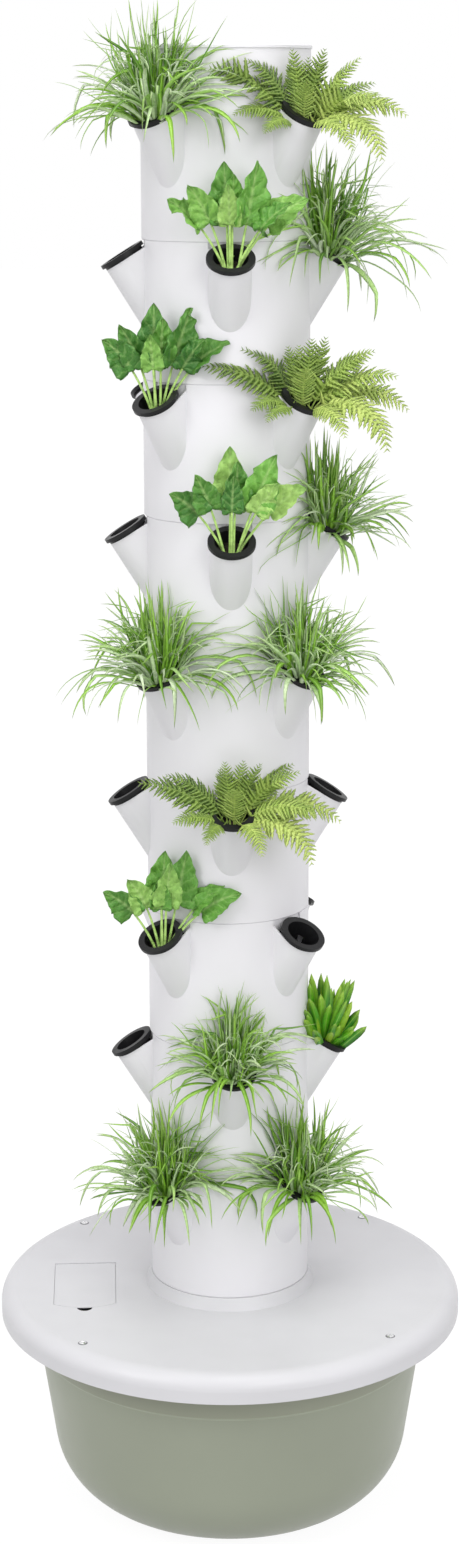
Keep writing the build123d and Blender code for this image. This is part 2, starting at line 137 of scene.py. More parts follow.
noiseSpan = (0.3, 0.7)  # where most values of a noise texture lie


def cloudy(wire, place, scale, detail=4.0):
    return wire.add("ShaderNodeTexNoise", {}, {"Vector": place, "Scale": scale, "Detail": detail})


def bumped(wire, height, strength, distance):
    return wire.add("ShaderNodeBump", {}, {"Height": height, "Strength": strength, "Distance": distance})


def newMaterial(name):
    material = bpy.data.materials.new(name)
    material.use_nodes = True
    tree = material.node_tree
    shader = next(n for n in tree.nodes if n.type == "BSDF_PRINCIPLED")
    wire = Wire(tree)
    return material, shader, wire, wire.add("ShaderNodeTexCoord", {}, {}, "Object")


def plug(wire, shader, **values):
    for name, value in values.items():
        socket = shader.inputs[name.replace("_", " ")]
        if isinstance(value, Wire):
            wire.tree.links.new(value.socket, socket)
        else:
            socket.default_value = value


# moulded plastics: a little cloud in the colour, a fine spark texture and rubbed patches in the gloss
plasticLooks = {
    "towerWhite": {"base": (0.78, 0.770, 0.800), "dull": (0.74, 0.730, 0.757),
                   "rough": (0.40, 0.54), "grain": 0.05},
    # the lid is the tower's white plastic set darker: painted shade, against the stronger light on its
    # upward face
    "lidWhite": {"base": (0.635, 0.63, 0.656), "dull": (0.604, 0.598, 0.621),
                 "rough": (0.34, 0.48), "grain": 0.05,
                 # painted shade: the finger notch and a ring round each screw are coloured dark
                 "notch": {"x": -0.187, "y": -0.085, "radius": 0.0102, "fade": 1.05,
                           "below": 0.2874, "depth": 0.0004, "grime": (0.006, 0.006, 0.007)},
                 "seats": {"offset": 0.1888, "radius": 0.0051, "half": 0.0012, "core": 0.5,
                           "share": 0.9, "grime": (0.10, 0.10, 0.11)}},
    "tubSage": {"base": (0.302, 0.326, 0.252), "dull": (0.290, 0.314, 0.242),
                "rough": (0.36, 0.40), "grain": 0.03,
                # painted light on the tub: a darker band above the step, a painted shadow, and a paler line
                # at its edge, a painted highlight
                "step": {"height": 0.2098, "half": 0.0024, "core": 0.3, "share": 0.5,
                         "rubbed": (0.40, 0.435, 0.335), "shade": (0.282, 0.299, 0.228)}},
    "potBlack": {"base": (0.009, 0.009, 0.010), "dull": (0.014, 0.014, 0.015),
                 "rough": (0.34, 0.50), "grain": 0.10, "gloss": 0.22},
    "pumpBlack": {"base": (0.022, 0.023, 0.026), "dull": (0.04, 0.04, 0.044),
                  "rough": (0.42, 0.58), "grain": 0.15},
    "pipeGrey": {"base": (0.62, 0.63, 0.64), "dull": (0.55, 0.56, 0.56),
                 "rough": (0.26, 0.38), "grain": 0.04},
    "cupRubber": {"base": (0.018, 0.018, 0.018), "dull": (0.03, 0.03, 0.03),
                  "rough": (0.62, 0.8), "grain": 0.2},
}

# what these plastics share: the scales of their marks and the depth of their bumps
mouldMarks = {"cloud": 6.0, "cloudRange": (0.35, 0.7), "rubbed": 23.0, "rubbedRange": (0.42, 0.66),
              "spark": 900.0, "sparkShare": 0.25, "sink": 14.0, "depth": 0.004, "gloss": 0.5}


def worldAxis(wire, axis):
    spot = wire.add("ShaderNodeNewGeometry", {}, {}, "Position")
    return wire.add("ShaderNodeSeparateXYZ", {}, {"Vector": spot}, axis)


def flatLength(x, y):
    return (x ** 2.0 + y ** 2.0) ** 0.5


def stepPaintedLight(wire, body, step):
    # painted shadow: the wall above the step is darker, as in the lid's shadow; painted highlight: the
    # step's edge is a paler line, as where it catches the light
    z = worldAxis(wire, "Z")
    above = ranged(z, step["height"], step["height"] + step["half"])
    body = mixed(above, body, colour(*step["shade"]))
    edge = ranged(abs(z - step["height"]), step["core"] * step["half"], step["half"], step["share"], 0.0)
    return mixed(edge, body, colour(*step["rubbed"]))


def notchPaintedShade(wire, body, notch):
    # painted shade in the finger notch, below the lid's face: near black, as the shadowed opening into the
    # tub
    reach = flatLength(worldAxis(wire, "X") - notch["x"], worldAxis(wire, "Y") - notch["y"])
    near = ranged(reach, notch["radius"], notch["fade"] * notch["radius"], 1.0, 0.0)
    low = ranged(worldAxis(wire, "Z"), notch["below"] - notch["depth"], notch["below"], 1.0, 0.0)
    return mixed(near * low, body, colour(*notch["grime"]))


def seatPaintedShade(wire, body, seat):
    # painted shade: a dark line around each of the four screws, where the head meets the lid, at the same
    # place in every quarter
    reach = flatLength(*[abs(worldAxis(wire, axis)) - seat["offset"] for axis in "XY"])
    ring = ranged(abs(reach - seat["radius"]), seat["core"] * seat["half"], seat["half"], seat["share"], 0.0)
    return mixed(ring, body, colour(*seat["grime"]))


# marks at fixed places in the world: painted shade in the notch and round the screws, painted shadow and
# highlight at the step
paintedLightMarks = {"step": stepPaintedLight, "notch": notchPaintedShade, "seats": seatPaintedShade}


def plastic(name, look):
    marks = mouldMarks
    material, shader, wire, place = newMaterial(name)
    cloud = cloudy(wire, place, marks["cloud"])
    rubbed = ranged(cloudy(wire, place, marks["rubbed"], detail=6.0), *marks["rubbedRange"])
    spark = cloudy(wire, place, marks["spark"], detail=2.0)
    sink = cloudy(wire, place, marks["sink"], detail=1.0)  # slow waves that bend the reflections a little
    body = mixed(ranged(cloud, *marks["cloudRange"]), colour(*look["base"]), colour(*look["dull"]))
    for mark, paint in paintedLightMarks.items():
        if mark in look:
            body = paint(wire, body, look[mark])
    plug(wire, shader, Base_Color=body,
         Roughness=ranged(rubbed, 0.0, 1.0, *look["rough"]),
         Normal=bumped(wire, spark * marks["sparkShare"] + sink, look["grain"], marks["depth"]))
    shader.inputs["Specular IOR Level"].default_value = look.get("gloss", marks["gloss"])
    return material


plastics = {name: plastic(name, look) for name, look in plasticLooks.items()}


# turned and drawn metal: fine lines round the screws and along the pin, in colour, gloss and relief
metalLooks = {
    "screwSteel": {"base": (0.86, 0.86, 0.87), "rough": (0.18, 0.32), "stretch": (1.0, 1.0, 30.0)},
    "pinSteel": {"base": (0.56, 0.56, 0.57), "rough": (0.24, 0.42), "stretch": (1.0, 30.0, 30.0)},
}
toolMarks = {"lines": 160.0, "shade": 0.86, "relief": 0.06, "depth": 0.001}


def metal(name, look):
    marks = toolMarks
    material, shader, wire, place = newMaterial(name)
    drawn = wire.add("ShaderNodeMapping", {}, {"Vector": place, "Scale": look["stretch"]})
    lines = cloudy(wire, drawn, marks["lines"], detail=3.0)
    shaded = [part * marks["shade"] for part in look["base"]]
    plug(wire, shader, Metallic=1.0,
         Base_Color=mixed(lines, colour(*look["base"]), colour(*shaded)),
         Roughness=ranged(lines, *noiseSpan, *look["rough"]),
         Normal=bumped(wire, lines, marks["relief"], marks["depth"]))
    return material


metals = {name: metal(name, look) for name, look in metalLooks.items()}


# ceramic of the impeller's shaft: pale and smooth, with faint specks
ceramicLook = {"base": (0.74, 0.72, 0.68), "speck": (0.66, 0.63, 0.58), "specks": 500.0,
               "speckRange": (0.45, 0.7), "rough": (0.12, 0.24)}


def ceramic(look):
    material, shader, wire, place = newMaterial("shaftCeramic")
    speck = cloudy(wire, place, look["specks"], detail=2.0)
    plug(wire, shader,
         Base_Color=mixed(ranged(speck, *look["speckRange"]), colour(*look["base"]), colour(*look["speck"])),
         Roughness=ranged(speck, *noiseSpan, *look["rough"]))
    return material


# growing medium: dark crumbs of peat and bark
peatLook = {"peat": (0.012, 0.010, 0.008), "bark": (0.075, 0.052, 0.03), "barkRange": (0.4, 0.68),
            "crumbs": 420.0, "cloud": 160.0, "rough": (0.82, 0.96), "relief": 0.7, "depth": 0.003}


def peat(look):
    material, shader, wire, place = newMaterial("peatPlug")
    crumb = wire.add("ShaderNodeTexVoronoi", {}, {"Vector": place, "Scale": look["crumbs"]})
    cloud = cloudy(wire, place, look["cloud"])
    plug(wire, shader,
         Base_Color=mixed(ranged(cloud, *look["barkRange"]), colour(*look["peat"]), colour(*look["bark"])),
         Roughness=ranged(cloud, *noiseSpan, *look["rough"]),
         Normal=bumped(wire, crumb + cloud, look["relief"], look["depth"]))
    return material


# leaves carry three values on their points: tone, along and across
leafLooks = {
    # the grass's pale tone is near white: on the curls and arching blades it serves as painted sheen
    "grassLeaf": {"dark": (0.07, 0.23, 0.012), "mid": (0.35, 0.68, 0.055), "pale": (0.82, 0.92, 0.70),
                  "tip": (0.34, 0.48, 0.11), "rib": (0.48, 0.68, 0.25), "rough": (0.28, 0.44),
                  "veins": 0.35, "mottle": 0.35, "ribShare": 0.75},
    "fernLeaf": {"dark": (0.075, 0.15, 0.022), "mid": (0.30, 0.45, 0.075), "pale": (0.60, 0.73, 0.19),
                 "tip": (0.50, 0.64, 0.17), "rib": (0.50, 0.62, 0.18), "rough": (0.42, 0.58),
                 "veins": 0.5, "mottle": 0.4, "ribShare": 0.6},
    "spinachLeaf": {"dark": (0.022, 0.14, 0.016), "mid": (0.20, 0.50, 0.068), "pale": (0.54, 0.80, 0.22),
                    "tip": (0.24, 0.55, 0.10), "rib": (0.50, 0.72, 0.26), "rough": (0.30, 0.46),
                    "veins": 1.0, "mottle": 0.25, "ribShare": 0.5, "sideShare": 0.17},
    "herbLeaf": {"dark": (0.03, 0.22, 0.010), "mid": (0.15, 0.54, 0.020), "pale": (0.46, 0.70, 0.05),
                 "tip": (0.48, 0.64, 0.08), "rib": (0.34, 0.60, 0.10), "rough": (0.28, 0.42),
                 "veins": 0.25, "mottle": 0.35, "ribShare": 0.75},
}

# marks that leaves share: mottling, coloured tips, midribs and fine veins, and side veins on some
leafMarks = {"midTone": 0.55, "mottle": 220.0, "mottleRange": (0.42, 0.72), "mottleRelief": 0.4,
             "tipRange": (0.72, 1.0), "tipShare": 0.6, "ribHalf": 0.18, "ribRelief": 0.5,
             "fine": 2.0, "fineAcross": 9.0, "fineAlong": 2.0, "fineShift": 40.0,
             "sideVeins": 6.0, "sideSlant": 1.4, "sideWaver": 0.9, "sideRange": (0.02, 0.16),
             "fieldRange": (0.1, 0.5), "fieldRelief": 5.0, "depth": 0.0012}


def leafMaterial(name, look):
    marks = leafMarks
    material, shader, wire, place = newMaterial(name)
    tone, along, across = [wire.add("ShaderNodeAttribute", {"attribute_name": value}, {}, "Fac")
                           for value in ("tone", "along", "across")]
    stops = [(0.0, look["dark"]), (marks["midTone"], look["mid"]), (1.0, look["pale"])]
    body = wire.add("ShaderNodeValToRGB", {"stops": stops}, {"Fac": tone})
    mottle = cloudy(wire, place, marks["mottle"])
    body = mixed(ranged(mottle, *marks["mottleRange"], 0.0, look["mottle"]), body, colour(*look["dark"]))
    body = mixed(ranged(along, *marks["tipRange"], 0.0, marks["tipShare"]), body, colour(*look["tip"]))
    rib = ranged(abs(across), 0.0, marks["ribHalf"], look["ribShare"], 0.0)
    body = mixed(rib, body, colour(*look["rib"]))
    drawnOut = {"X": across * marks["fineAcross"], "Y": along * marks["fineAlong"],
                "Z": tone * marks["fineShift"]}
    veins = cloudy(wire, wire.add("ShaderNodeCombineXYZ", {}, drawnOut), marks["fine"])
    relief = veins + mottle * marks["mottleRelief"] - rib * marks["ribRelief"]
    if "sideShare" in look:  # slanted side veins, with darker, raised fields between them
        slanted = along * marks["sideVeins"] - abs(across) * marks["sideSlant"] + mottle * marks["sideWaver"]
        zigzag = wire.add("ShaderNodeMath", {"operation": "PINGPONG"}, {0: slanted, 1: 0.5})
        side = ranged(zigzag, *marks["sideRange"], look["sideShare"], 0.0)
        field = ranged(zigzag, *marks["fieldRange"], 0.0, look["sideShare"])
        body = mixed(field, mixed(side, body, colour(*look["rib"])), colour(*look["dark"]))
        relief = relief + field * marks["fieldRelief"]
    plug(wire, shader, Base_Color=body,
         Roughness=ranged(mottle, *noiseSpan, *look["rough"]),
         Normal=bumped(wire, relief, look["veins"], marks["depth"]))
    return material


leafMaterials = {name: leafMaterial(name, look) for name, look in leafLooks.items()}
peatMaterial = peat(peatLook)
ceramicMaterial = ceramic(ceramicLook)
print("materials ready:", len(bpy.data.materials))


# what the CAD nodes that stay are made of, by the start of their names; the rest of the pump is black
finishes = {
    "tier_module": plastics["towerWhite"], "top_": plastics["towerWhite"],
    "reservoir_lid": plastics["lidWhite"], "hatch_cover": plastics["lidWhite"],
    "reservoir_tub": plastics["tubSage"], "net_pot": plastics["potBlack"],
    "riser": plastics["pipeGrey"], "water_distributor": plastics["pipeGrey"],
    "pump_outlet_adapter": plastics["pipeGrey"], "pump_impeller": plastics["pipeGrey"],
    "lid_screws": metals["screwSteel"], "hatch_hinge_pin": metals["pinSteel"],
    "impeller_shaft": ceramicMaterial, "suction_cups": plastics["cupRubber"],
}
for name, node in nodes.items():
    named = [finish for start, finish in finishes.items() if name.startswith(start)]
    node.data.materials.clear()
    node.data.materials.append(named[0] if named else plastics["pumpBlack"])
print("finishes given to the frame")


def onCircle(radius, i, count):
    angle = 2 * math.pi * i / count
    return radius * math.cos(angle), radius * math.sin(angle)


def bands(rows):
    # the corners of each cell between one ring of points and the next
    for near, far in zip(rows, rows[1:]):
        for i in range(len(near)):
            j = (i + 1) % len(near)
            yield near[i], near[j], far[j], far[i]


def coverRings(shape, rows):
    for first, second, third, fourth in bands(rows):
        corners = (first, fourth, third, second)
        shape.faces.new(corners[:3] if first is second else corners)


def meshFrom(shape, name, material):
    made = bpy.data.meshes.new(name)
    shape.to_mesh(made)
    shape.free()
    made.materials.append(material)
    return made


# screws: domed heads with a cross recess, on plain shanks as in the model
screwSet = {"circle": 0.267, "firstTurn": 45, "count": 4, "seat": 0.288, "radius": 0.0045, "height": 0.0018,
            "domeDrop": 0.62, "domePower": 1.4, "shank": 0.002, "length": 0.016,
            "recessReach": 0.0026, "recessHalf": 0.00055, "recessDepth": 0.0012, "recessSlope": 2.5,
            "slotStart": 0.3, "slotStep": 0.7, "rings": 22, "sectors": 48}


def screwHeight(x, y):
    look = screwSet
    outward = (x * x + y * y) / look["radius"] ** 2
    height = look["height"] * (1 - look["domeDrop"] * outward ** look["domePower"])
    for near, far in ((abs(x), abs(y)), (abs(y), abs(x))):
        if near < look["recessHalf"] and far < look["recessReach"]:
            slope = look["recessSlope"] * (1 - far / look["recessReach"])
            return height - look["recessDepth"] * min(1.0, slope)
    return height


def screwMesh():
    look = screwSet
    shape = bmesh.new()
    rows = []

    def addRow(radius, level=None):
        places = [onCircle(radius, i, look["sectors"]) for i in range(look["sectors"])]
        heights = [screwHeight(x, y) if level is None else level for x, y in places]
        rows.append([shape.verts.new((*place, height)) for place, height in zip(places, heights)])

    for k in range(1, look["rings"] + 1):
        addRow(look["radius"] * k / look["rings"])
    addRow(look["radius"], 0.0)
    addRow(look["shank"], 0.0)
    addRow(look["shank"], -look["length"])
    coverRings(shape, rows)
    shape.faces.new(rows[0])
    shape.faces.new(rows[-1][::-1])
    return meshFrom(shape, "lidScrew", metals["screwSteel"])


oneScrew = screwMesh()
for i in range(screwSet["count"]):
    turn = math.radians(screwSet["firstTurn"] + 360 * i / screwSet["count"])
    screw = bpy.data.objects.new(f"lid_screw_{i + 1}", oneScrew)
    scene.collection.objects.link(screw)
    x, y = math.cos(turn) * screwSet["circle"], math.sin(turn) * screwSet["circle"]
    slotTurn = Matrix.Rotation(screwSet["slotStep"] * i + screwSet["slotStart"], 4, "Z")
    screw.matrix_world = Matrix.Translation((x, y, screwSet["seat"])) @ slotTurn
    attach(screw, "tower")
    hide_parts("lid_screws")
print("screws made:", screwSet["count"])


# where the pots stand, repeated from the model in metres, and where the leaves leave their plugs
potPlaces = {"towerFoot": 0.303, "pitch": 0.163, "tiers": 9, "reach": 0.1202, "drop": 0.02245,
             "tilt": math.radians(32), "wall": 0.1, "plugTop": 0.008, "plugFoot": 0.050,
             "plugRadius": 0.0186, "plugFootRadius": 0.0141, "crownShift": 0.006, "rootSink": 0.003}


def potMatrix(tier, azimuth):
    seam = potPlaces["towerFoot"] + (potPlaces["tiers"] + 1 - tier) * potPlaces["pitch"]
    turn = Matrix.Rotation(math.radians(azimuth - 90), 4, "Z")
    lifted = Matrix.Translation((0, 0, seam - potPlaces["drop"]))
    return lifted @ turn @ Matrix.Translation((potPlaces["reach"], 0, 0))


def crownPoint(turn, ring, sink=potPlaces["rootSink"]):
    x = potPlaces["crownShift"] + ring * math.cos(turn)
    flat = Vector((x, ring * math.sin(turn), -potPlaces["plugTop"] - sink))
    return Matrix.Rotation(potPlaces["tilt"], 3, "Y") @ flat


def offWall(point, gap):
    # the tower's axis is one reach behind the pot: a point too near the wall is pushed out to it
    spoke = Vector((point.x + potPlaces["reach"], point.y))
    least = potPlaces["wall"] + gap
    if 0 < spoke.length < least:
        spoke *= least / spoke.length
    return Vector((spoke.x - potPlaces["reach"], spoke.y, point.z))


def heading(line, k):
    # the way that a line runs at one of its points
    return (line[min(k + 1, len(line) - 1)] - line[max(k - 1, 0)]).normalized()


# what all leaves have in common: how they thin out, how stalks are coloured and the cells of their map
leafForm = {"tipThin": 0.6, "stalkAlong": 0.6, "stalkAcross": 0.15, "cellAspect": 3, "cellHalf": 0.4,
            "cellFoot": 0.06, "cellHeight": 0.88}


# points and faces of one plant, with the values that its material reads and a map with a cell for each leaf
class Foliage:
    def __init__(self):
        self.points, self.faces, self.spots = [], [], []
        self.values = {"tone": [], "along": [], "across": []}
        self.cell = -1

    def point(self, place, tone, along, across, spot=None):
        self.points.append(place)
        self.spots.append((self.cell, across if spot is None else spot, along))
        for name, value in (("tone", tone), ("along", along), ("across", across)):
            self.values[name].append(value)
        return len(self.points) - 1

    def strip(self, line, sides, widths, keel, thick, tone):
        # a closed four-sided strip with a keel, drawn out to a point
        self.cell += 1
        last = len(line) - 1
        rows = []
        for k, (place, side, width) in enumerate(zip(line, sides, widths)):
            t = k / last
            if k == last:
                rows.append([self.point(place, tone, t, 0.0)] * 4)
                continue
            up = heading(line, k).cross(side).normalized()
            sag = up * keel * width
            half = side * width / 2
            body = up * thick * (1 - leafForm["tipThin"] * t)
            rows.append([self.point(place - half, tone, t, -1.0),
                         self.point(place - sag + body / 2, tone, t, 0.0),
                         self.point(place + half, tone, t, 1.0),
                         self.point(place - sag - body / 2, tone, t, 0.0)])
        self.faces.append(rows[0][::-1])
        for cell in bands(rows):
            self.faces.append(cell if cell[2] != cell[3] else cell[:3])

    def tube(self, line, radii, tone, ring):
        self.cell += 1
        last = len(line) - 1
        rows = []
        for k, (place, radius) in enumerate(zip(line, radii)):
            ahead = heading(line, k)
            first = ahead.orthogonal().normalized()
            second = ahead.cross(first)
            row = []
            for i in range(ring):
                angle = 2 * math.pi * i / ring
                edge = place + radius * (first * math.cos(angle) + second * math.sin(angle))
                row.append(self.point(edge, tone, k / last * leafForm["stalkAlong"], leafForm["stalkAcross"],
                                      2 * i / (ring - 1) - 1))
            rows.append(row)
        self.faces.append(rows[0][::-1])
        self.faces.append(rows[-1])
        self.faces.extend(bands(rows))

    def mesh(self, name):
        made = bpy.data.meshes.new(name)
        made.from_pydata([tuple(p) for p in self.points], [], self.faces)
        for title, numbers in self.values.items():
            made.attributes.new(title, "FLOAT", "POINT").data.foreach_set("value", numbers)
        made.validate()
        shape = bmesh.new()
        shape.from_mesh(made)
        bmesh.ops.recalc_face_normals(shape, faces=shape.faces)
        shape.to_mesh(made)
        shape.free()
        made.polygons.foreach_set("use_smooth", [True] * len(made.polygons))
        columns = math.ceil(math.sqrt(leafForm["cellAspect"] * (self.cell + 1)))
        rows = math.ceil((self.cell + 1) / columns)
        places = [((cell % columns + 0.5 + leafForm["cellHalf"] * side) / columns,
                   (cell // columns + leafForm["cellFoot"] + leafForm["cellHeight"] * t) / rows)
                  for cell, side, t in self.spots]
        flat = [part for loop in made.loops for part in places[loop.vertex_index]]
        made.uv_layers.new(name="OFBake").uv.foreach_set("vector", flat)
        made.update()
        return made


# how leaves grow: waves along them, and how high above the horizon they look for light
growth = {"riseWaves": 6.5, "swayWaves": 5.0, "lightRise": 0.35, "anyPhase": 6.28}
noKink = (2.0, 0.0)  # a fold past the tip, so none


def arch(start, turn, lift, bend, power, length, sway, steps, wobble=(0.0, 0.0), kink=noKink):
    # a leaf's middle line: it leaves at one slope, in degrees, and bends over towards its tip
    line = [start]
    ways = []
    for k in range(steps):
        t = (k + 0.5) / steps
        slope = math.radians(lift) - math.radians(bend) * t ** power
        slope += wobble[0] * math.sin(growth["riseWaves"] * t + wobble[1])
        if t > kink[0]:
            slope -= kink[1]
        way = turn + sway * t + wobble[0] * math.cos(growth["swayWaves"] * t + 2 * wobble[1]) * t
        ways.append(way)
        step = Vector((math.cos(slope) * math.cos(way), math.cos(slope) * math.sin(way), math.sin(slope)))
        line.append(line[-1] + step * length / steps)
    ways.append(ways[-1])
    return line, ways


def acrossLine(line, ways, twist):
    # unit vectors across a leaf, turned a little about its own line
    sides = []
    last = len(line) - 1
    for k, way in enumerate(ways):
        flat = Vector((-math.sin(way), math.cos(way), 0))
        sides.append((Matrix.Rotation(twist * k / last, 3, heading(line, k)) @ flat).normalized())
    return sides


def towardsLight(azimuth):
    # the light comes from the front, a little above, in the pot's own axes
    turn = math.radians(-azimuth)
    return Vector((math.cos(turn), math.sin(turn), growth["lightRise"])).normalized()


def turnedToLight(line, sides, light, share):
    turned = []
    for k, side in enumerate(sides):
        ahead = heading(line, k)
        wanted = light.cross(ahead)
        if wanted.dot(side) < 0:
            side = -side
        between = side * (1 - share) + wanted * share
        between -= ahead * between.dot(ahead)
        turned.append(between.normalized())
    return turned


def screenTurn(azimuth, angle):
    # an angle from the right towards the front of the tower, as a turn about the pot
    return math.radians(90 - azimuth - angle)


def swing(rand, reach):
    return rand.uniform(-reach, reach)


# grass: a dense upright heart, thin curls, pale arching blades and a few broad ones that hang over the rim;
# the paleness of the curls and arching blades is painted sheen
grassSet = {
    "steps": 12, "spread": 132, "gap": 0.003, "keel": 0.16, "thick": 0.0005, "twist": 1.5,
    "wobble": (0.05, 0.24), "leanShare": 0.3,  # clumps at the sides lean towards the light at the front
    "foot": 0.62, "footSteps": 3, "tipFrom": 0.45, "tipLoss": 0.85, "tipPower": 1.6, "leastWidth": 0.15,
    "heart": {"count": 190, "spread": 170, "ring": (0.0, 0.0145), "lift": (54, 97), "bend": (-20, 40),
              "upright": 78, "power": 1.3, "short": (0.058, 0.106), "long": (0.100, 0.142),
              "width": (0.0032, 0.0056), "tone": (1.2, 1.3), "sway": 0.9,
              "foldAt": (0.5, 0.8), "fold": (25, 85), "foldShare": 0.4},
    # the tones of the curls and arching blades vary at random but lean to the near-white end: painted sheen,
    # as of light glancing off them
    "curls": {"count": 46, "ring": (0.0, 0.013), "lift": (72, 96), "bend": (110, 190),
              "power": (2.0, 3.2), "length": (0.07, 0.13), "width": (0.0020, 0.0032),
              "tone": (0.82, 1.0), "sway": 2.2},
    "arching": {"count": 70, "ring": (0.004, 0.013), "lift": (38, 76), "bend": (36, 100),
                "power": (1.0, 1.6), "length": (0.072, 0.128), "width": (0.0034, 0.0060),
                "tone": (3.6, 1.1), "sway": 0.7},
    "hanging": {"count": 24, "ring": 0.011, "lift": (50, 72), "bend": (92, 140),
                "power": (0.7, 1.1), "length": (0.092, 0.150), "width": (0.0050, 0.0074),
                "tone": (2.4, 1.4), "sway": 0.35, "foldAt": (0.55, 0.75), "fold": (14, 42)},
}


def bladeWidth(k):
    look = grassSet
    foot = look["foot"] + (1 - look["foot"]) * min(1.0, k / look["footSteps"])
    tip = max(0.0, (k / look["steps"] - look["tipFrom"]) / (1 - look["tipFrom"]))
    return max(look["leastWidth"], foot - look["tipLoss"] * tip ** look["tipPower"])


def grassClump(seed, size, azimuth):
    look = grassSet
    heart, curls, arching, hanging = [look[part] for part in ("heart", "curls", "arching", "hanging")]
    rand = random.Random(seed)
    lean = -azimuth * look["leanShare"]
    leaves = Foliage()
    steps = look["steps"]

    def drawn(kind, names):
        return [rand.uniform(*kind[name]) for name in names.split()]

    def roundTheRim(i, count):
        return math.radians(lean + look["spread"] * (2 * (i + rand.random()) / count - 1))

    def oneBlade(turn, ring, lift, bend, power, length, width, tone, sway, kink=noKink):
        wobble = (rand.uniform(*look["wobble"]), rand.uniform(0, growth["anyPhase"]))
        root = crownPoint(turn, ring)
        line, ways = arch(root, turn, lift, bend, power, length * size, sway, steps, wobble, kink)
        line = [offWall(p, look["gap"]) for p in line]
        sides = acrossLine(line, ways, swing(rand, look["twist"]))
        widths = [bladeWidth(k) * width for k in range(steps + 1)]
        leaves.strip(line, sides, widths, look["keel"], look["thick"], tone)

    for i in range(heart["count"]):
        turn = math.radians(lean + swing(rand, heart["spread"]))
        length = rand.uniform(*heart["short" if i % 3 else "long"])
        fold = (rand.uniform(*heart["foldAt"]), math.radians(rand.uniform(*heart["fold"])))
        lift, ring, bend, width = drawn(heart, "lift ring bend width")
        bend -= max(0.0, heart["upright"] - lift)
        tone = rand.betavariate(*heart["tone"])
        sway = swing(rand, heart["sway"])
        kink = fold if rand.random() < heart["foldShare"] else noKink
        oneBlade(turn, ring, lift, bend, heart["power"], length, width, tone, sway, kink)
    for i in range(curls["count"]):
        turn = math.radians(lean + swing(rand, look["spread"]))
        oneBlade(turn, *drawn(curls, "ring lift bend power length width tone"), swing(rand, curls["sway"]))
    for i in range(arching["count"]):
        turn = roundTheRim(i, arching["count"])
        oneBlade(turn, *drawn(arching, "ring lift bend power length width"),
                 rand.betavariate(*arching["tone"]), swing(rand, arching["sway"]))
    for i in range(hanging["count"]):
        turn = roundTheRim(i, hanging["count"])
        foldAt = rand.uniform(*hanging["foldAt"])
        fold = math.radians(rand.uniform(*hanging["fold"])) if i % 2 else 0.0
        oneBlade(turn, hanging["ring"], *drawn(hanging, "lift bend power length width"),
                 rand.betavariate(*hanging["tone"]), swing(rand, hanging["sway"]), (foldAt, fold))
    return leaves.mesh("grassClump")


# fern: arching fronds of paired, toothed leaflets, each frond as angle, lift, bend, length and tone
fernSet = {"steps": 14, "ring": 0.008, "power": 1.15, "gap": 0.006, "facing": 0.55, "sway": 0.3,
           "twist": 0.4, "turnSwing": 9, "liftSwing": 4, "bendSwing": 10, "lengthRange": (0.93, 1.05),
           "stalk": 0.0011, "stalkTaper": 0.75, "stalkPaler": 0.2, "stalkSides": 5,
           "fronds": [(168, 52, 40, 0.140, 0.22), (150, 40, 66, 0.098, 0.40), (178, 70, 46, 0.110, 0.15),
                      (140, 84, 22, 0.090, 0.25), (112, 88, 26, 0.098, 0.42), (70, 86, 22, 0.100, 0.36),
                      (92, 74, 50, 0.088, 0.60), (38, 80, 26, 0.106, 0.32), (14, 68, 40, 0.124, 0.55),
                      (-18, 60, 42, 0.120, 0.35), (24, 52, 62, 0.134, 0.70), (4, 46, 96, 0.146, 0.78),
                      (30, 40, 118, 0.152, 0.90), (60, 36, 100, 0.108, 0.80), (128, 34, 84, 0.084, 0.50)]}

# leaflets: their length is for a frond of the length given, and shares are of a frond or of a leaflet
leafletSet = {"pairs": 17, "first": 0.20, "over": 0.79, "length": 0.029, "frondLength": 0.133,
              "lengthRange": (0.88, 1.06), "swellFrom": 0.08, "swellOver": 0.96, "swellSkew": 0.72,
              "swellPower": 0.75, "leastShare": 0.14, "tipFrom": 0.985, "tipShare": 0.2,
              "slant": 20, "tipSlant": 22, "slantSwing": 7, "droop": (-0.34, -0.12), "steps": 9,
              "width": 0.40, "taper": 0.7, "foot": 0.7, "tooth": 0.6, "keel": 0.10, "thick": 0.0005,
              "gap": 0.003, "toneSwing": 0.16}


def leafletShare(t):
    # leaflets are longest a little below the middle of a frond and shorter towards both of its ends
    look = leafletSet
    if t >= look["tipFrom"]:
        return look["tipShare"]
    swell = min(1.0, (t - look["swellFrom"]) / look["swellOver"]) ** look["swellSkew"]
    return max(look["leastShare"], math.sin(math.pi * swell) ** look["swellPower"])


def addLeaflet(leaves, root, way, up, droop, reach, tone):
    look = leafletSet
    steps = look["steps"]
    line, widths = [], []
    for s in range(steps + 1):
        line.append(offWall(root + (way + droop * (s / steps)) * reach * s / steps, look["gap"]))
        form = (1 - s / steps) ** look["taper"] * (1.0 if s else look["foot"])
        widths.append(reach * look["width"] * form * (1.0 if s % 2 else look["tooth"]))
    flat = way.cross(up).normalized()
    leaves.strip(line, [flat] * (steps + 1), widths, look["keel"], look["thick"], min(1.0, max(0.0, tone)))


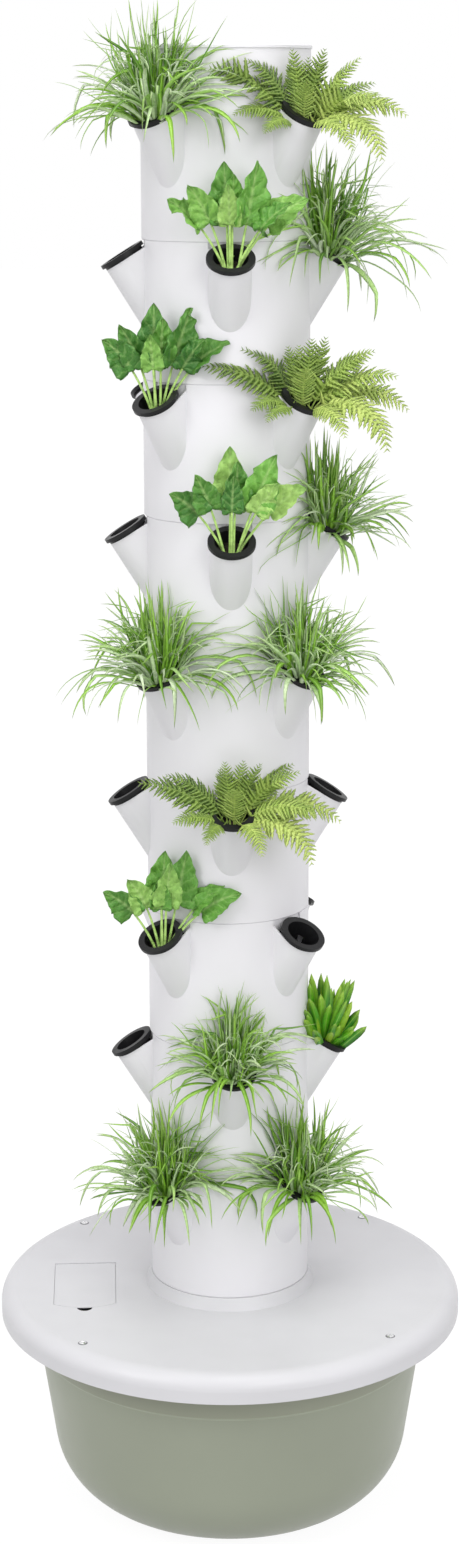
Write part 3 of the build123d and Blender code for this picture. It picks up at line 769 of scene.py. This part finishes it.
def fernClump(seed, size, azimuth):
    look, leaflet = fernSet, leafletSet
    rand = random.Random(seed)
    leaves = Foliage()
    steps = look["steps"]
    light = towardsLight(azimuth)
    for angle, lift, bend, length, tone in look["fronds"]:
        turn = screenTurn(azimuth, angle + swing(rand, look["turnSwing"]))
        length *= size * rand.uniform(*look["lengthRange"])
        lift += swing(rand, look["liftSwing"])
        bend += swing(rand, look["bendSwing"])
        root = crownPoint(turn, look["ring"])
        line, ways = arch(root, turn, lift, bend, look["power"], length, swing(rand, look["sway"]), steps)
        line = [offWall(p, look["gap"]) for p in line]
        radii = [look["stalk"] * (1 - look["stalkTaper"] * k / steps) for k in range(steps + 1)]
        leaves.tube(line, radii, min(1.0, tone + look["stalkPaler"]), look["stalkSides"])
        sides = acrossLine(line, ways, swing(rand, look["twist"]))
        sides = turnedToLight(line, sides, light, look["facing"])
        for pair in range(leaflet["pairs"]):
            t = leaflet["first"] + leaflet["over"] * pair / (leaflet["pairs"] - 1)
            at = t * steps
            k = min(int(at), steps - 1)
            joint = line[k].lerp(line[k + 1], at - k)
            ahead = (line[k + 1] - line[k]).normalized()
            up = ahead.cross(sides[k]).normalized()
            reach = leaflet["length"] * length / leaflet["frondLength"] * leafletShare(t)
            reach *= rand.uniform(*leaflet["lengthRange"])
            for hand in (-1, 1):
                degrees = leaflet["slant"] + leaflet["tipSlant"] * t + swing(rand, leaflet["slantSwing"])
                slant = math.radians(degrees)
                way = (sides[k] * hand * math.cos(slant) + ahead * math.sin(slant)).normalized()
                droop = up * rand.uniform(*leaflet["droop"])
                addLeaflet(leaves, joint, way, up, droop, reach, tone + swing(rand, leaflet["toneSwing"]))
    return leaves.mesh("fernClump")


# spinach: long pale stalks that open into broad pointed leaves
# the plan gives each leaf's angle, lift, bend, length of stalk, length and width
spinachSet = {"ring": (0.004, 0.009), "sink": 0.004, "gap": 0.004, "tone": (0.08, 0.94),
              "turnSwing": 10, "liftSwing": 4, "bendSwing": 8, "lengthRange": (0.92, 1.08),
              "stalkSteps": 8, "stalkBend": 0.35, "stalkPower": 1.0, "stalkSway": 0.15,
              "stalkRadius": 0.0019, "stalkTaper": 0.0006, "stalkTone": 0.98, "stalkSides": 7,
              "rows": 26, "columns": 12, "thick": 0.0007, "bladeBend": 0.65, "bladePower": 1.1,
              "bladeSway": 0.25, "twist": 0.25, "facing": (0.5, 0.9),
              "plan": [(172, 68, 46, 0.062, 0.050, 0.038), (150, 78, 30, 0.064, 0.052, 0.035),
                       (124, 91, 0, 0.061, 0.068, 0.042), (28, 76, 4, 0.060, 0.070, 0.044),
                       (72, 87, 10, 0.064, 0.056, 0.035), (6, 60, 40, 0.066, 0.054, 0.037),
                       (22, 68, 34, 0.060, 0.048, 0.031), (98, 84, 16, 0.060, 0.046, 0.027)]}

# the blade: broad near its foot and drawn to a point, folded up, frilled at its edges and puckered between
bladeForm = {"foot": 0.10, "skew": 0.62, "point": 0.75, "edgeWaves": 34, "edge": 0.05, "fold": 0.42,
             "foldPower": 1.3, "frillWaves": 19, "frillShift": 2.2, "frill": 0.07, "puckerWaves": 30,
             "puckerSlant": 9, "pucker": 0.09, "lobe": 0.35, "lobeEnd": 0.3, "alongFoot": 0.12}


def spinachHalf(t, width, wave):
    look = bladeForm
    if t >= 1:
        return 0.0
    swell = min(1.0, look["foot"] + (1 - look["foot"]) * t ** look["skew"])
    half = width / 2 * math.sin(math.pi * swell) ** look["point"]
    return half * (1 + look["edge"] * math.sin(look["edgeWaves"] * t + 2 * wave))


def spinachRise(t, u, half, width, wave):
    look = bladeForm
    out = abs(u)
    fold = out ** look["foldPower"] * half * look["fold"]
    edgeWave = math.sin(look["frillWaves"] * t + look["frillShift"] * u + wave)
    frill = edgeWave * out ** 2 * width * look["frill"]
    innerWave = math.sin(look["puckerWaves"] * t - look["puckerSlant"] * out + wave)
    pucker = innerWave * (1 - out) * out * width * look["pucker"]
    return fold + frill + pucker


def coverBlade(leaves, top, under):
    # faces of the upper and lower skins, and of the edges that join them
    rows, columns = len(top) - 1, len(top[0]) - 1
    for k in range(rows):
        for c in range(columns):
            leaves.faces.append([top[k][c], top[k][c + 1], top[k + 1][c + 1], top[k + 1][c]])
            leaves.faces.append([under[k][c], under[k + 1][c], under[k + 1][c + 1], under[k][c + 1]])
        leaves.faces.append([top[k][0], top[k + 1][0], under[k + 1][0], under[k][0]])
        leaves.faces.append([top[k][columns], under[k][columns], under[k + 1][columns], top[k + 1][columns]])
    for c in range(columns):
        leaves.faces.append([top[0][c], under[0][c], under[0][c + 1], top[0][c + 1]])
        leaves.faces.append([top[rows][c], top[rows][c + 1], under[rows][c + 1], under[rows][c]])


def spinachLeaf(leaves, rand, light, turn, lift, bend, stalk, length, width, tone):
    look = spinachSet
    steps = look["stalkSteps"]
    start = crownPoint(turn, rand.uniform(*look["ring"]), look["sink"])
    sway = swing(rand, look["stalkSway"])
    line, ways = arch(start, turn, lift, bend * look["stalkBend"], look["stalkPower"], stalk, sway, steps)
    line = [offWall(p, look["gap"]) for p in line]
    radii = [look["stalkRadius"] - look["stalkTaper"] * k / steps for k in range(steps + 1)]
    leaves.tube(line, radii, look["stalkTone"], look["stalkSides"])
    rows, columns = look["rows"], look["columns"]
    slope = lift - bend * look["stalkBend"]
    bend *= look["bladeBend"]
    sway = swing(rand, look["bladeSway"])
    blade, ways = arch(line[-1], ways[-1], slope, bend, look["bladePower"], length, sway, rows)
    sides = acrossLine(blade, ways, look["twist"])
    sides = turnedToLight(blade, sides, light, rand.uniform(*look["facing"]))
    wave = rand.uniform(0, growth["anyPhase"])
    top, under = [], []
    leaves.cell += 1
    for k in range(rows + 1):
        t = k / rows
        ahead = heading(blade, k)
        side = sides[k]
        up = ahead.cross(side).normalized()
        half = spinachHalf(t, width, wave)
        lobe = bladeForm["lobe"] if t < bladeForm["lobeEnd"] else 0.0  # small lobes beside the stalk
        along = bladeForm["alongFoot"] + (1 - bladeForm["alongFoot"]) * t
        for row, drop in ((top, 0.0), (under, look["thick"])):
            marks = []
            for c in range(columns + 1):
                u = 2 * c / columns - 1
                back = ahead * -abs(u) ** 2 * half * lobe
                rise = spinachRise(t, u, half, width, wave) - drop
                place = blade[k] + side * u * half + up * rise + back
                marks.append(leaves.point(offWall(place, look["gap"]), tone, along, u))
            row.append(marks)
    coverBlade(leaves, top, under)


def spinachClump(seed, size, azimuth):
    look = spinachSet
    rand = random.Random(seed)
    leaves = Foliage()
    light = towardsLight(azimuth)
    for angle, lift, bend, stalk, length, width in look["plan"]:
        turn = screenTurn(azimuth, angle + swing(rand, look["turnSwing"]))
        lift += swing(rand, look["liftSwing"])
        bend += swing(rand, look["bendSwing"])
        length *= size * rand.uniform(*look["lengthRange"])
        tone = rand.uniform(*look["tone"])
        spinachLeaf(leaves, rand, light, turn, lift, bend, stalk * size, length, width * size, tone)
    return leaves.mesh("spinachClump")


# herb: a tight bunch of thick strap leaves with rounded ends
herbSet = {"leaves": 40, "fromAngle": -35, "toAngle": 165, "turnShare": 0.618, "steps": 9, "facing": 0.65,
           "tall": {"length": (0.070, 0.104), "lift": (58, 92)},
           "short": {"length": (0.050, 0.072), "lift": (40, 60)},
           "ring": (0.002, 0.013), "bend": (-10, 20), "power": 1.2, "sway": 0.3, "twist": 0.7, "gap": 0.004,
           "width": (0.0082, 0.0116), "keel": 0.13, "thick": 0.0014, "tone": (1.3, 1.1),
           "form": [0.5, 0.62, 0.74, 0.86, 0.96, 1.0, 1.0, 0.92, 0.68, 0.0]}


def herbClump(seed, size, azimuth):
    look = herbSet
    rand = random.Random(seed)
    leaves = Foliage()
    steps = look["steps"]
    light = towardsLight(azimuth)
    for i in range(look["leaves"]):
        share = i * look["turnShare"] % 1.0
        turn = screenTurn(azimuth, look["fromAngle"] + share * (look["toAngle"] - look["fromAngle"]))
        kind = look["tall" if i % 3 else "short"]
        length = rand.uniform(*kind["length"]) * size
        lift = rand.uniform(*kind["lift"])
        root = crownPoint(turn, rand.uniform(*look["ring"]))
        bend = rand.uniform(*look["bend"])
        line, ways = arch(root, turn, lift, bend, look["power"], length, swing(rand, look["sway"]), steps)
        line = [offWall(p, look["gap"]) for p in line]
        width = rand.uniform(*look["width"]) * size
        sides = acrossLine(line, ways, swing(rand, look["twist"]))
        sides = turnedToLight(line, sides, light, look["facing"])
        widths = [width * share for share in look["form"]]
        leaves.strip(line, sides, widths, look["keel"], look["thick"], rand.betavariate(*look["tone"]))
    return leaves.mesh("herbClump")


# root plug: a tapered lump of peat with a crumbled top
plugSet = {"rings": 5, "sectors": 28, "crumble": 0.0016, "crumbs": 240}


def peatMesh():
    look = plugSet
    sectors = look["sectors"]
    shape = bmesh.new()
    rows = []
    for k in range(look["rings"] + 1):
        radius = potPlaces["plugRadius"] * k / look["rings"]
        row = []
        for i in range(sectors if k else 1):
            place = Vector((*onCircle(radius, i, sectors), -potPlaces["plugTop"]))
            place.z -= look["crumble"] + look["crumble"] * noise.noise(place * look["crumbs"])
            row.append(shape.verts.new(place))
        rows.append(row if k else row * sectors)
    places = [onCircle(potPlaces["plugFootRadius"], i, sectors) for i in range(sectors)]
    rows.append([shape.verts.new((*place, -potPlaces["plugFoot"])) for place in places])
    coverRings(shape, rows)
    shape.faces.new(rows[-1][::-1])
    shape.transform(Matrix.Rotation(potPlaces["tilt"], 4, "Y"))
    return meshFrom(shape, "peatPlug", peatMaterial)


# what grows where: tier, azimuth, kind, side in the node's name, seed and size
plantings = [
    (1, -45, "grass", "left", 11, 1.08), (1, 45, "fern", "right", 5, 0.87),
    (2, 0, "spinach", "front", 3, 1.0), (2, 90, "grass", "right", 23, 1.14),
    (3, -45, "spinach", "left", 8, 1.0), (3, 45, "fern", "right", 9, 0.91),
    (4, 0, "spinach", "front", 4, 1.0), (4, 90, "grass", "right", 31, 1.0),
    (5, -45, "grass", "left", 47, 1.0), (5, 45, "grass", "right", 58, 1.0),
    (6, 0, "fern", "front", 14, 0.9),
    (7, -45, "spinach", "left", 21, 1.0),
    (8, 0, "grass", "front", 62, 0.92), (8, 90, "herb", "right", 2, 1.06),
    (9, -45, "grass", "left", 77, 1.0), (9, 45, "grass", "right", 83, 1.0),
]
clumps = {"grass": grassClump, "fern": fernClump, "spinach": spinachClump, "herb": herbClump}
plugMesh = peatMesh()
for tier, azimuth, kind, side, seed, size in plantings:
    label = f"{kind}_tier_{tier}_{side}"
    plantMesh = clumps[kind](seed, size, azimuth)
    plantMesh.materials.append(leafMaterials[kind + "Leaf"])
    leavesPiece = bpy.data.objects.new(f"leaves_{label}", plantMesh)
    plugPiece = bpy.data.objects.new(f"peat_{label}", plugMesh)
    for piece in (leavesPiece, plugPiece):
        scene.collection.objects.link(piece)
        piece.matrix_world = potMatrix(tier, azimuth)
        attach(piece, "tower")
    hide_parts(label)
print("plants made:", len(plantings))


# white floor and background, seen as white while the object keeps a soft shadow
stageSet = {"floorSize": 60.0, "floorDrop": 0.0006, "floorColour": (0.62, 0.62, 0.62), "whiteShare": 0.82,
            "whiteLevel": 1.14, "skyFrom": -0.2, "skyLow": 0.65, "skyTop": 0.78}


def seenRay(wire):
    kinds = ("Is Camera Ray", "Is Glossy Ray", "Is Transmission Ray")
    camera, glossy, through = [wire.add("ShaderNodeLightPath", {}, {}, kind) for kind in kinds]
    return ranged(camera + glossy + through, 0.0, 1.0)


def makeFloor(look):
    made = bpy.data.meshes.new("studioFloor")
    half = look["floorSize"] / 2
    corners = [(-half, -half, 0), (half, -half, 0), (half, half, 0), (-half, half, 0)]
    made.from_pydata(corners, [], [(0, 1, 2, 3)])
    material = bpy.data.materials.new("studioFloor")
    material.use_nodes = True
    tree = material.node_tree
    tree.nodes.clear()
    wire = Wire(tree)
    plain = wire.add("ShaderNodeBsdfDiffuse", {}, {"Color": colour(*look["floorColour"])})
    white = wire.add("ShaderNodeEmission", {}, {"Color": colour(1, 1, 1), "Strength": look["whiteLevel"]})
    both = wire.add("ShaderNodeMixShader", {}, {0: seenRay(wire) * look["whiteShare"], 1: plain, 2: white})
    tree.links.new(both.socket, tree.nodes.new("ShaderNodeOutputMaterial").inputs["Surface"])
    made.materials.append(material)
    floor = bpy.data.objects.new("studioFloor", made)
    floor.location.z = -look["floorDrop"]
    scene.collection.objects.link(floor)


def makeWorld(look):
    world = bpy.data.worlds.new("studioWorld")
    scene.world = world
    world.use_nodes = True
    tree = world.node_tree
    wire = Wire(tree)
    background = next(n for n in tree.nodes if n.type == "BACKGROUND")
    way = wire.add("ShaderNodeTexCoord", {}, {}, "Generated")
    height = wire.add("ShaderNodeSeparateXYZ", {}, {"Vector": way}, "Z")
    sky = ranged(height, look["skyFrom"], 1.0, look["skyLow"], look["skyTop"])
    seen = seenRay(wire)
    level = sky * (1 - seen) + seen
    background.inputs["Color"].default_value = colour(1, 1, 1)
    tree.links.new(level.socket, background.inputs["Strength"])


# soft round lamps: the key from the left, a broad fill from the right and one above the front
lampSet = {
    "keyLamp": {"place": (-3.4, -2.8, 3.6), "aim": (0, 0, 0.9), "size": 2.2, "power": 66},
    "fillLamp": {"place": (1.9, -4.2, 3.2), "aim": (0, 0, 0.9), "size": 3.0, "power": 80},
    "topLamp": {"place": (0.0, -1.6, 5.0), "aim": (0, -0.1, 0.3), "size": 2.4, "power": 60},
}


def makeLamp(name, look):
    data = bpy.data.lights.new(name, "AREA")
    data.shape = "DISK"
    data.size = look["size"]
    data.energy = look["power"]
    lamp = bpy.data.objects.new(name, data)
    scene.collection.objects.link(lamp)
    lamp.location = look["place"]
    beam = Vector(look["aim"]) - Vector(look["place"])
    lamp.rotation_euler = beam.to_track_quat("-Z", "Y").to_euler()


makeFloor(stageSet)
makeWorld(stageSet)
for name, look in lampSet.items():
    makeLamp(name, look)
print("stage and lights set")
